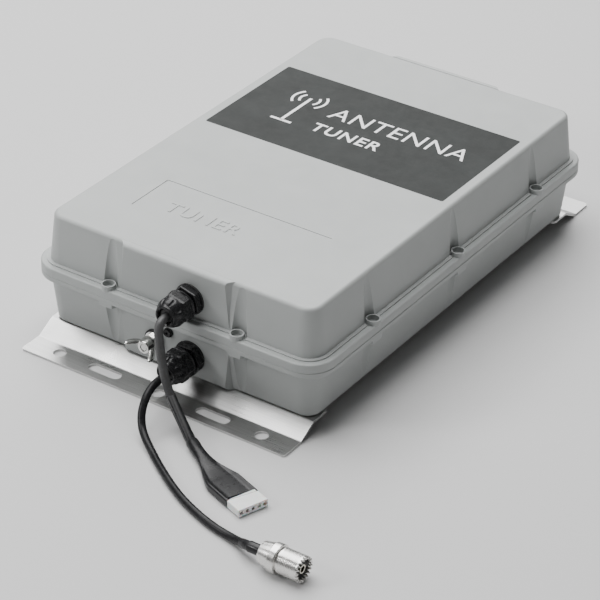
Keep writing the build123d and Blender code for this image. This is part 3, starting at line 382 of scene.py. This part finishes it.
def place_piece(name, mesh, material, body, stands_for=(), sharp=35):
    """Shade a mesh, link it and say what it rides on, takes its finish from and stands for."""
    mesh.shade_smooth()
    mesh.set_sharp_from_angle(angle=math.radians(sharp))
    mesh.materials.clear()
    mesh.materials.append(finishes[material])
    made = bpy.data.objects.new(name, mesh)
    bpy.context.scene.collection.objects.link(made)
    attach(made, body)
    if stands_for:
        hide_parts(*stands_for)
    return made


def angles(count):
    """Evenly spaced angles round a full turn."""
    return np.linspace(0, 2 * np.pi, count, endpoint=False)


def smooth(low, high, value):
    """Smooth step from 0 at low to 1 at high."""
    t = np.clip((value - low) / (high - low), 0, 1)
    return t * t * (3 - 2 * t)


def denser(rows, step):
    """A profile's points with straight runs divided to about one step, for (radius, height, ...) rows."""
    rows = np.asarray(rows, float)
    out = [rows[:1]]
    for a, b in zip(rows, rows[1:]):
        count = max(1, int(np.ceil(np.hypot(*(b - a)[:2]) / step)))
        out.append(a + (b - a) * np.linspace(0, 1, count + 1)[1:, None])
    return np.concatenate(out)


def through(stations, count):
    """That many rows on a smooth cubic line through every station."""
    stations = np.array(stations)
    t = np.linspace(0, len(stations) - 1, count)
    first = np.clip(t.astype(int), 0, len(stations) - 2)
    f = (t - first)[:, None]
    slope = np.gradient(stations, axis=0)
    a, b = stations[first], stations[first + 1]
    sa, sb = slope[first], slope[first + 1]
    return a + f * (sa + f * (3 * (b - a) - 2 * sa - sb + f * (2 * (a - b) + sa + sb)))


def headings(points):
    """Unit direction of a line at each of its points."""
    way = np.gradient(points, axis=0)
    return way / np.linalg.norm(way, axis=1)[:, None]


EASED_CORNER = 0.996


def hexed(radius, theta, amount):
    """Radius round a hexagon of that corner radius, blended with a circle by amount; corners are eased."""
    wedge = np.mod(theta, np.pi / 3) - np.pi / 6
    flat = np.minimum(radius * math.cos(math.pi / 6) / np.cos(wedge), radius * EASED_CORNER)
    return radius + (flat - radius) * amount


def thread(height, theta, pitch, depth, low, high):
    """How far a straight-flanked screw thread cuts in: a triangle wave that climbs a pitch per turn.

    It runs out over one pitch at its low and high ends."""
    phase = np.mod(height / pitch - theta / (2 * np.pi), 1)
    low_end, high_end = smooth(low, low + pitch, height), smooth(high, high - pitch, height)
    return -depth * np.abs(2 * phase - 1) * low_end * high_end


class Seat:
    """A fitting's own frame: an origin on the case and an axis pointing outwards."""

    def __init__(self, origin, across, up, out):
        self.origin = np.array(origin)
        self.axes = np.array([across, up, out], float)

    def turned(self, rows, columns, shape=None, turn=0.0):
        """Points of a turned body: radius and height rows carried round the axis.

        shape(radius, height, theta, extra) returns the radius and height at each angle."""
        rows = np.asarray(rows, float)
        theta = angles(columns)[None, :]
        radius, height = rows[:, 0:1], rows[:, 1:2]
        extra = rows[:, 2:3] if rows.shape[1] > 2 else np.zeros_like(radius)
        if shape:
            radius, height = shape(radius, height, theta, extra)
        radius, height = (np.broadcast_to(v, (len(rows), columns)) for v in (radius, height))
        angle = theta + math.radians(turn)
        local = np.stack([radius * np.cos(angle), radius * np.sin(angle), height], -1) * MM
        return self.origin + local @ self.axes

    def points(self, local):
        """Points given in the fitting's frame, in millimetres."""
        return self.origin + np.asarray(local) * MM @ self.axes


def middle(node):
    """Centre of a node's box."""
    low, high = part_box(node)
    return (np.array(low) + np.array(high)) / 2


def front_seat(node):
    """Seat of a fitting on the front wall, from the washer or seal that touches the wall."""
    centre = middle(node)
    return Seat((centre[0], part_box(node)[1][1], centre[2]), (1, 0, 0), (0, 0, 1), (0, -1, 0))


upper_seat = front_seat("upper_gland_washer")
lower_seat = front_seat("lower_gland_washer")
ground_seat = front_seat("ground_seal_washer")
antenna_centre = middle("antenna_gasket")
antenna_seat = Seat((antenna_centre[0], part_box("antenna_gasket")[0][1], antenna_centre[2]),
                    (-1, 0, 0), (0, 0, 1), (0, 1, 0))
jack_centre = middle("jack_shell")
jack_seat = Seat((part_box("jack_shell")[0][0], jack_centre[1], jack_centre[2]),
                 (0, 1, 0), (0, 0, 1), (1, 0, 0))

# ---------------------------------------------------------------- glands

HEX_CORNER = 10.97
GLAND_PITCH = 1.5
UPPER_TURN = -14.0
LOWER_TURN = 3.0
CLAWS = 8
CLAW_GROOVE = 0.075           # share of the radius

# Radius, height and how hexagonal, in millimetres from the wall.
CAP_PROFILE = [(7.86, 8.8, 0), (9.9, 8.8, 0), (10.25, 9.1, 0), (10.3, 9.7, 0), (10.1, 10.0, 0.3),
               (10.7, 10.2, 1), (HEX_CORNER, 10.7, 1), (HEX_CORNER, 15.6, 1), (10.6, 16.9, 0.9),
               (9.75, 17.5, 0.25), (9.5, 18.0, 0), (9.45, 19.2, 0), (9.1, 20.8, 0), (8.5, 22.2, 0),
               (7.7, 23.3, 0), (7.1, 23.8, 0), (7.0, 24.1, 0), (7.2, 24.5, 0), (7.0, 25.1, 0),
               (6.4, 25.45, 0), (5.7, 25.4, 0), (5.0, 24.8, 0), (4.64, 24.0, 0), (4.62, 19.8, 0),
               (7.86, 18.1, 0)]


def cap_shape(radius, height, theta, hexness):
    """Six flats where the profile asks for them, and shallow grooves that part the dome into claws."""
    flats = hexed(radius, theta, hexness)
    along = smooth(17.8, 19.6, height) * smooth(24.0, 22.6, height)
    groove = np.clip(np.cos(CLAWS * theta), 0, 1) ** 6
    return flats * (1 - CLAW_GROOVE * along * groove), height


BODY_PROFILE = [(4.05, -9.5, 0), (7.75, -9.5, 0), (7.75, 1.0, 0), (10.3, 1.0, 1), (10.9, 1.35, 1),
                (HEX_CORNER, 1.9, 1), (HEX_CORNER, 5.3, 1), (10.7, 5.9, 1), (10.1, 6.2, 1), (7.3, 6.2, 0),
                (7.3, 6.6, 0), (7.78, 7.0, 0), (7.78, 13.6, 0), (7.3, 14.2, 0), (6.05, 14.2, 0),
                (6.05, 7.5, 0), (4.05, 7.5, 0)]


def body_shape(radius, height, theta, hexness):
    """Six flats on the nut, and a screw thread on the neck in front of it."""
    outer = smooth(7.2, 7.5, radius) * smooth(6.4, 6.9, height)
    return hexed(radius, theta, hexness) + outer * thread(height, theta, GLAND_PITCH, 0.8, 6.6, 14.4), height


def make_gland(prefix, seat, turn, body, cap_body):
    """The visible body and cap of one gland."""
    grid = seat.turned(denser(BODY_PROFILE, 0.3), 96, body_shape, turn)
    new_piece(f"{prefix}_gland_base", [(grid, True)], "black_nylon", body,
              [f"{prefix}_gland_body"], sharp=24)
    grid = seat.turned(denser(CAP_PROFILE, 0.45), 144, cap_shape, turn)
    new_piece(f"{prefix}_gland_dome", [(grid, True)], "black_nylon", cap_body,
              [f"{prefix}_gland_cap"], sharp=24)


# ---------------------------------------------------------------- terminals

STUD_PITCH = 0.8
STUD_THREAD = (-7.5, 25.5)
STUD_THREAD_DEPTH = 0.3
KNURLS = 40
KNURL_DEPTH = 0.32
WING_HEADING = -21.0
WING_STATIONS = [(2.2, 2.6, 2.3, 1.35), (4.4, 3.0, 2.2, 1.3), (6.0, 4.2, 2.1, 1.2),
                 (7.5, 6.2, 2.05, 1.15), (8.5, 8.2, 1.9, 1.05), (9.0, 10.0, 1.55, 0.95),
                 (9.1, 11.3, 0.95, 0.65), (9.0, 12.1, 0.0, 0.0)]


def wing_grid(seat, base, side):
    """A wing: ellipses carried along a rising line.

    Each station gives distance from the axis, height, half the width in the wing's plane and half its
    thickness."""
    rows = through(WING_STATIONS, 40)
    centre, size = rows[:, :2], np.maximum(rows[:, 2:], 0)
    way = headings(centre)
    theta = angles(28)[None, :]
    width, thick = size[:, 0:1] * np.cos(theta), size[:, 1:2] * np.sin(theta)
    out = side * (centre[:, 0:1] - way[:, 1:2] * width)
    up = centre[:, 1:2] + way[:, 0:1] * width
    return seat_turned(seat, out, thick + 0 * out, base + up, WING_HEADING)


def seat_turned(seat, x, y, z, turn):
    """Points in a fitting's frame, turned about its axis."""
    c, s = math.cos(math.radians(turn)), math.sin(math.radians(turn))
    return seat.points(np.stack([c * x - s * y, s * x + c * y, z], -1))


def stud_shape(radius, height, theta, extra):
    """A screw thread on a stud's full-width rows; the part of a stud behind the thread stays plain."""
    cut = thread(height, theta, STUD_PITCH, STUD_THREAD_DEPTH, *STUD_THREAD)
    return radius + np.where(radius > 2.2, cut, 0), height


def hex_shape(radius, height, theta, amount):
    """Six flats where the profile asks for them."""
    return hexed(radius, theta, amount), height


def knurl_shape(radius, height, theta, amount):
    """Straight knurling: ripples round the rim."""
    return radius - KNURL_DEPTH * amount * np.abs(np.sin(KNURLS / 2 * theta)), height


def make_terminals():
    """Wing nut, studs and thumb nut."""
    base = (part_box("ground_seal_washer")[1][1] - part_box("ground_wing_nut")[1][1]) / MM
    hub = [(2.5, 0.0), (4.9, 0.0), (5.2, 0.3), (5.15, 1.0), (4.6, 3.4), (4.25, 4.9), (3.9, 5.35), (3.3, 5.4),
           (2.5, 5.1)]
    hub = [(r, h + base) for r, h in hub]
    new_piece("ground_wing_nut_cast", [(ground_seat.turned(denser(hub, 0.5), 64), True),
                                       (wing_grid(ground_seat, base, 1), False),
                                       (wing_grid(ground_seat, base, -1), False)],
              "plated_hardware", "ground_nut", ["ground_wing_nut"], merge=2e-6)
    tip = (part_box("ground_seal_washer")[1][1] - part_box("ground_stud")[0][1]) / MM
    rod = [(0, -8.0), (2.43, -8.0), (2.43, tip - 0.5), (2.0, tip), (0, tip)]
    head = [(0, -10.8, 1), (4.2, -10.8, 1), (4.6, -10.4, 1), (4.6, -8.4, 1), (4.2, -8.0, 1), (0, -8.0, 1)]
    new_piece("ground_stud_threaded", [(ground_seat.turned(denser(rod, 0.16), 40, stud_shape), False),
                                       (ground_seat.turned(head, 60, hex_shape), False)],
              "plated_hardware", "case", ["ground_stud"], merge=2e-6)
    tip = (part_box("antenna_stud")[1][1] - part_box("antenna_gasket")[0][1]) / MM
    rod = [(0, -14.5), (2.5, -14.5), (2.93, -14.0), (2.93, tip - 0.6), (2.3, tip), (0, tip)]
    new_piece("antenna_stud_threaded", [(antenna_seat.turned(denser(rod, 0.18), 44, stud_shape), False)],
              "plated_hardware", "case", ["antenna_stud"], merge=2e-6)
    low = (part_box("antenna_thumb_nut")[0][1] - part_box("antenna_gasket")[0][1]) / MM
    thumb = [(3.0, 0, 0), (5.1, 0, 0), (5.4, 0.3, 0), (5.4, 1.2, 0), (7.6, 1.5, 0), (8.0, 1.9, 1),
             (8.0, 4.5, 1), (7.6, 4.9, 0), (7.2, 5.2, 0), (5.6, 5.2, 0), (5.2, 4.8, 0), (3.4, 4.8, 0),
             (3.0, 4.4, 0)]
    thumb = [(r, h + low, k) for r, h, k in thumb]
    grid = antenna_seat.turned(denser(thumb, 0.4), 240, knurl_shape)
    new_piece("antenna_thumb_nut_knurled", [(grid, True)], "plated_hardware", "antenna_nut",
              ["antenna_thumb_nut"])


# ---------------------------------------------------------------- coax jack

JACK_PITCH = 1.06
JACK_THREAD = (13.9, 27.2)
JACK_THREAD_DEPTH = 0.17
JACK_END = 28.5
RIM_TEETH = 20
TOOTH_DEPTH = 1.5


def jack_shape(radius, height, theta, rim):
    """A fine thread on the barrel, and teeth round the rim: the end rises and falls with the angle."""
    barrel = smooth(7.5, 7.8, radius) * smooth(13.9, 14.3, height) * smooth(8.6, 8.2, radius)
    tooth = np.abs(2 * np.mod(RIM_TEETH * theta / (2 * np.pi), 1) - 1)
    dip = TOOTH_DEPTH * rim * smooth(0.25, 0.8, tooth)
    cut = thread(height, theta, JACK_PITCH, JACK_THREAD_DEPTH, *JACK_THREAD)
    return radius + barrel * cut, height - dip


def make_jack():
    """The jack's shell with a waisted rear, a collar, a threaded barrel and a toothed rim."""
    profile = [(3.02, 0.4, 0), (3.5, 0.0, 0), (5.9, 0.0, 0), (6.6, 0.4, 0), (6.85, 1.4, 0), (7.5, 4.2, 0),
               (8.1, 7.0, 0), (8.2, 7.5, 0), (8.75, 7.9, 0), (8.9, 8.3, 0), (8.9, 12.1, 0), (8.7, 12.6, 0),
               (8.2, 12.8, 0), (7.2, 12.85, 0), (7.2, 13.7, 0), (7.9, 14.1, 0), (7.93, 27.0, 0),
               (7.9, 27.4, 0.3), (7.75, 28.2, 1), (7.5, JACK_END, 1), (6.6, JACK_END, 1), (6.35, 28.2, 1),
               (6.25, 26.8, 0.2), (6.22, 16.0, 0), (3.02, 15.9, 0)]
    grid = jack_seat.turned(denser(profile, 0.2), 160, jack_shape)
    new_piece("jack_barrel", [(grid, True)], "jack_nickel", "case", ["jack_shell"])


SLEEVE_LEAN = (0.3, 0.4, 0.86)
COAX_SLEEVE = 16.8            # back from the jack
CONTROL_SLEEVE = (37.0, 0.6)  # back from the boot's end of the lead


def sleeve_grid(line, spans):
    """A sleeve round a line: circles of the profile's radius, square to the line at each distance along it.

    The lean is a fixed direction that neither line ever follows, so it can be crossed with both."""
    distance = run_length(line)
    spans = np.array(spans, float)
    at, radius = spans[:, 0] * MM, spans[:, 1] * MM
    centre = np.stack([np.interp(at, distance, line[:, k]) for k in range(3)], -1)
    step = 0.6 * MM
    ahead = np.stack([np.interp(at + step, distance, line[:, k]) for k in range(3)], -1)
    behind = np.stack([np.interp(at - step, distance, line[:, k]) for k in range(3)], -1)
    way = ahead - behind
    way /= np.linalg.norm(way, axis=1)[:, None]
    side = np.cross(way, SLEEVE_LEAN)
    side /= np.linalg.norm(side, axis=1)[:, None]
    up = np.cross(side, way)
    theta = angles(48)[None, :, None]
    across = np.cos(theta) * side[:, None] + np.sin(theta) * up[:, None]
    return centre[:, None] + radius[:, None, None] * across


def make_sleeves():
    """Shrunk sleeves: one on the control lead above its boot, and two stepped layers behind the jack."""
    total = run_length(coax_line)[-1] / MM
    start = total - COAX_SLEEVE
    outer = [(start, 2.56), (start, 2.75), (start + 0.3, 2.9), (total - 9.4, 2.95), (total - 9.2, 3.05),
             (total - 9.0, 3.35), (total - 8.6, 3.4), (total - 0.3, 3.4), (total - 0.05, 3.2),
             (total - 0.05, 2.56)]
    coax = new_piece("coax_shrink_sleeves", [(sleeve_grid(coax_line, denser_spans(outer)), True)],
                     "heat_shrink", "case", ["coax_sleeve"])
    total = run_length(control_line)[-1] / MM
    low, high = (total - back for back in CONTROL_SLEEVE)
    outer = [(low, 2.84), (low, 3.0), (low + 0.35, 3.12), (high - 9.0, 3.1), (high - 8.8, 3.25),
             (high, 3.3), (high, 2.84)]
    control = new_piece("control_shrink_sleeve", [(sleeve_grid(control_line, denser_spans(outer)), True)],
                        "heat_shrink", "cover")
    return coax, control


def denser_spans(spans):
    """Sleeve profile with a row at least every 0.7 mm along it."""
    rows = denser([(b, a) for a, b in spans], 0.7)
    return rows[:, ::-1]


# ---------------------------------------------------------------- control connector

BOOT_STATIONS = [(50.0, -205.3, 4.0, 3.95, 3.85, 2.0, 0.0), (51.6, -206.4, 4.0, 4.0, 3.9, 2.0, 0.0),
                 (57.6, -210.2, 3.8, 4.0, 3.75, 2.0, 0.02), (64.0, -213.9, 3.6, 4.3, 3.45, 2.2, 0.08),
                 (70.5, -217.5, 3.4, 5.6, 3.25, 2.5, 0.22), (77.0, -220.9, 3.25, 7.8, 3.1, 3.0, 0.4),
                 (83.0, -223.8, 3.2, 9.8, 3.1, 4.0, 0.5), (86.5, -225.4, 3.2, 10.5, 3.15, 5.5, 0.5),
                 (88.4, -226.1, 3.2, 10.6, 3.15, 6.0, 0.5), (96.0, -228.9, 3.2, 10.6, 3.15, 6.0, 0.5),
                 (103.9, -231.75, 3.2, 10.6, 3.15, 6.0, 0.5), (104.3, -231.9, 3.2, 10.4, 2.95, 6.0, 0.46)]


def boot_grid():
    """The boot: rounded rectangles carried along its line, their upper face dished between two long rims.

    Each station gives a place, half width, half thickness, how square the section is, and the dish's
    depth as a share of the half thickness. A section is the curve |x/a|^n + |z/b|^n = 1."""
    rows = through(BOOT_STATIONS, 110)
    way = headings(rows[:, :2])
    theta = angles(96)[None, :]
    half, thick, square, dish = (rows[:, k:k + 1] for k in (3, 4, 5, 6))
    c, s = np.cos(theta), np.sin(theta)
    reach = (np.abs(c) ** square + np.abs(s) ** square) ** (-1 / square)
    x, z = reach * c, reach * s
    top = np.clip(z, 0, 1) * smooth(0.93, 0.68, np.abs(x))
    side = half * x
    up = np.maximum(rows[:, 2:3] + thick * (z - dish * top), 0.0)
    return np.stack([rows[:, 0:1] - way[:, 1:2] * side, rows[:, 1:2] + way[:, 0:1] * side, up], -1) * MM


def end_caps(grid):
    """The same grid closed at both ends by rows shrunk to the end sections' middles."""
    first = np.broadcast_to(grid[0].mean(0), grid[0].shape)[None]
    last = np.broadcast_to(grid[-1].mean(0), grid[-1].shape)[None]
    return np.concatenate([first, grid, last])


# ---------------------------------------------------------------- label and mouldings


def flat_text(name, words, size, place, material, thick, spread, weight=0.0):
    """Words as a thin mesh lying on the roof, read from the front of the case."""
    curve = bpy.data.curves.new(name, "FONT")
    curve.body = words
    curve.size = size
    curve.space_character = spread
    curve.offset = weight
    curve.extrude = thick / 2
    curve.resolution_u = 8
    holder = bpy.data.objects.new(name + "_words", curve)
    bpy.context.scene.collection.objects.link(holder)
    bpy.context.view_layer.update()
    mesh = bpy.data.meshes.new_from_object(holder.evaluated_get(bpy.context.evaluated_depsgraph_get()))
    bpy.data.objects.remove(holder)
    mesh.transform(Matrix.Translation(place))
    return place_piece(name, mesh, material, "cover", sharp=30)


def stroke_grid(points, half_width, height, top):
    """A flat bar along a line: a rectangle carried along it, from the surface up to a small height."""
    way = headings(points)
    side = np.stack([-way[:, 1], way[:, 0]], -1) * half_width
    left, right = points + side, points - side
    rows = np.stack([np.stack([*p.T, np.full(len(p), h)], -1) for p, h in
                     ((left, top), (right, top), (right, top - height), (left, top - height))], 1)
    return end_caps(rows)


# ---------------------------------------------------------------- make everything

control_cord = route_curve("control_lead", CONTROL_POINTS, CONTROL_RADIUS)
control_cord.data.materials.append(finishes["cable_jacket"])
coax_cord = route_curve("coax_lead", COAX_POINTS, COAX_RADIUS)
coax_cord.data.materials.append(finishes["coax_jacket"])
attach(control_cord, "cover")
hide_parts("control_cable")
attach(coax_cord, "case")
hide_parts("coax_cable")

coax_sleeves, control_sleeve = make_sleeves()
boot = new_piece("control_boot", [(end_caps(boot_grid()), False)], "heat_shrink", "cover",
                 ["connector_boot"], sharp=50, merge=3e-6)
make_jack()

make_gland("upper", upper_seat, UPPER_TURN, "cover", "upper_gland_cap")
make_gland("lower", lower_seat, LOWER_TURN, "case", "lower_gland_cap")
make_terminals()

for subpart in frame["record"]["subparts"]:
    nodes[subpart["node"]].data.materials.clear()
    nodes[subpart["node"]].data.materials.append(finishes[subpart["material_slot"]])

label_middle = middle("top_label")
label_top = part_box("top_label")[1][2]
INK = 0.04 * MM
WORDS_LEFT = -30 * MM         # from the label's middle, as the places below
LARGE_WORD = 21 * MM
LARGE_WORD_UP = 3 * MM
SMALL_WORD = 15 * MM
SMALL_WORD_BOLDER = 0.25 * MM
LABEL_FOOT = -18 * MM
SYMBOL_LEFT = -52 * MM
POLE = 36 * MM
POLE_FOOT = 16 * MM
POLE_HALF_WIDTH = 1.1 * MM
WAVE_UP = 34 * MM
WAVE_RADII = (7 * MM, 12 * MM)
WAVE_HALF_WIDTH = 0.9 * MM
WAVE_HALF_ANGLE = 0.75

ROOF_WORD = 16 * MM
ROOF_WORD_THICK = 0.5 * MM
ROOF_WORD_PLACE = (-44 * MM, -108 * MM)
ROOF_WORD_LIFT = 0.1 * MM


def make_label():
    """White wording with a plain aerial symbol on the label."""
    left, level = label_middle[0] + WORDS_LEFT, label_top + INK / 2
    place = (left, label_middle[1] + LARGE_WORD_UP, level)
    flat_text("label_word_large", "ANTENNA", LARGE_WORD, place, "print_white", INK, 1.06)
    place = (left, label_middle[1] + LABEL_FOOT, level)
    flat_text("label_word_small", "TUNER", SMALL_WORD, place, "print_white", INK, 1.12,
              SMALL_WORD_BOLDER)
    x, y = label_middle[0] + SYMBOL_LEFT, label_middle[1] + LABEL_FOOT
    rise = np.linspace(0, 1, 12)
    pole = np.stack([x + 0 * rise, y + POLE * rise], -1)
    foot = np.stack([x + (rise - 0.5) * POLE_FOOT, y + 0 * rise], -1)
    grids = [stroke_grid(line, POLE_HALF_WIDTH, INK, label_top + INK) for line in (pole, foot)]
    sweep = np.linspace(-WAVE_HALF_ANGLE, WAVE_HALF_ANGLE, 24)
    for radius in WAVE_RADII:
        for side in (-1, 1):
            wave = np.stack([x + side * radius * np.cos(sweep), y + WAVE_UP + radius * np.sin(sweep)], -1)
            grids.append(stroke_grid(wave, WAVE_HALF_WIDTH, INK, label_top + INK))
    new_piece("label_symbol", [(g, False) for g in grids], "print_white", "cover", merge=1e-7)


make_label()
flat_text("roof_word", "TUNER", ROOF_WORD, (*ROOF_WORD_PLACE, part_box("top_cover")[1][2] + ROOF_WORD_LIFT),
          "case_plastic", ROOF_WORD_THICK, 1.1)

# ---------------------------------------------------------------- stage

FLOOR_SIZE = 8
FLOOR_GREY = 0.6
WORLD_STRENGTH = 0.15
LIGHT_TARGET = Vector((0, 0, 0.04))
# Name, place, size and power.
LIGHTS = [("top_light", (-0.6, 0.15, 1.9), 2.0, 84), ("back_light", (-1.3, 1.9, 1.35), 1.5, 30),
          ("front_light", (-1.3, -1.5, 1.2), 0.6, 17)]


def make_stage():
    """A pale floor and plain soft light from overhead, behind and the front left."""
    bpy.ops.mesh.primitive_plane_add(size=FLOOR_SIZE)
    floor = bpy.context.object
    floor.name = "floor"
    paint = Finish("floor_paint", (FLOOR_GREY, FLOOR_GREY, FLOOR_GREY), 0.8)
    floor.data.materials.append(paint.material)
    world = bpy.data.worlds.new("studio")
    world.use_nodes = True
    world.node_tree.nodes["Background"].inputs["Color"].default_value = (1, 1, 1, 1)
    world.node_tree.nodes["Background"].inputs["Strength"].default_value = WORLD_STRENGTH
    bpy.context.scene.world = world
    for name, place, size, power in LIGHTS:
        light = bpy.data.lights.new(name, "AREA")
        light.size = size
        light.energy = power
        lamp = bpy.data.objects.new(name, light)
        lamp.location = place
        lamp.rotation_euler = (LIGHT_TARGET - Vector(place)).to_track_quat("-Z", "Y").to_euler()
        bpy.context.scene.collection.objects.link(lamp)


make_stage()
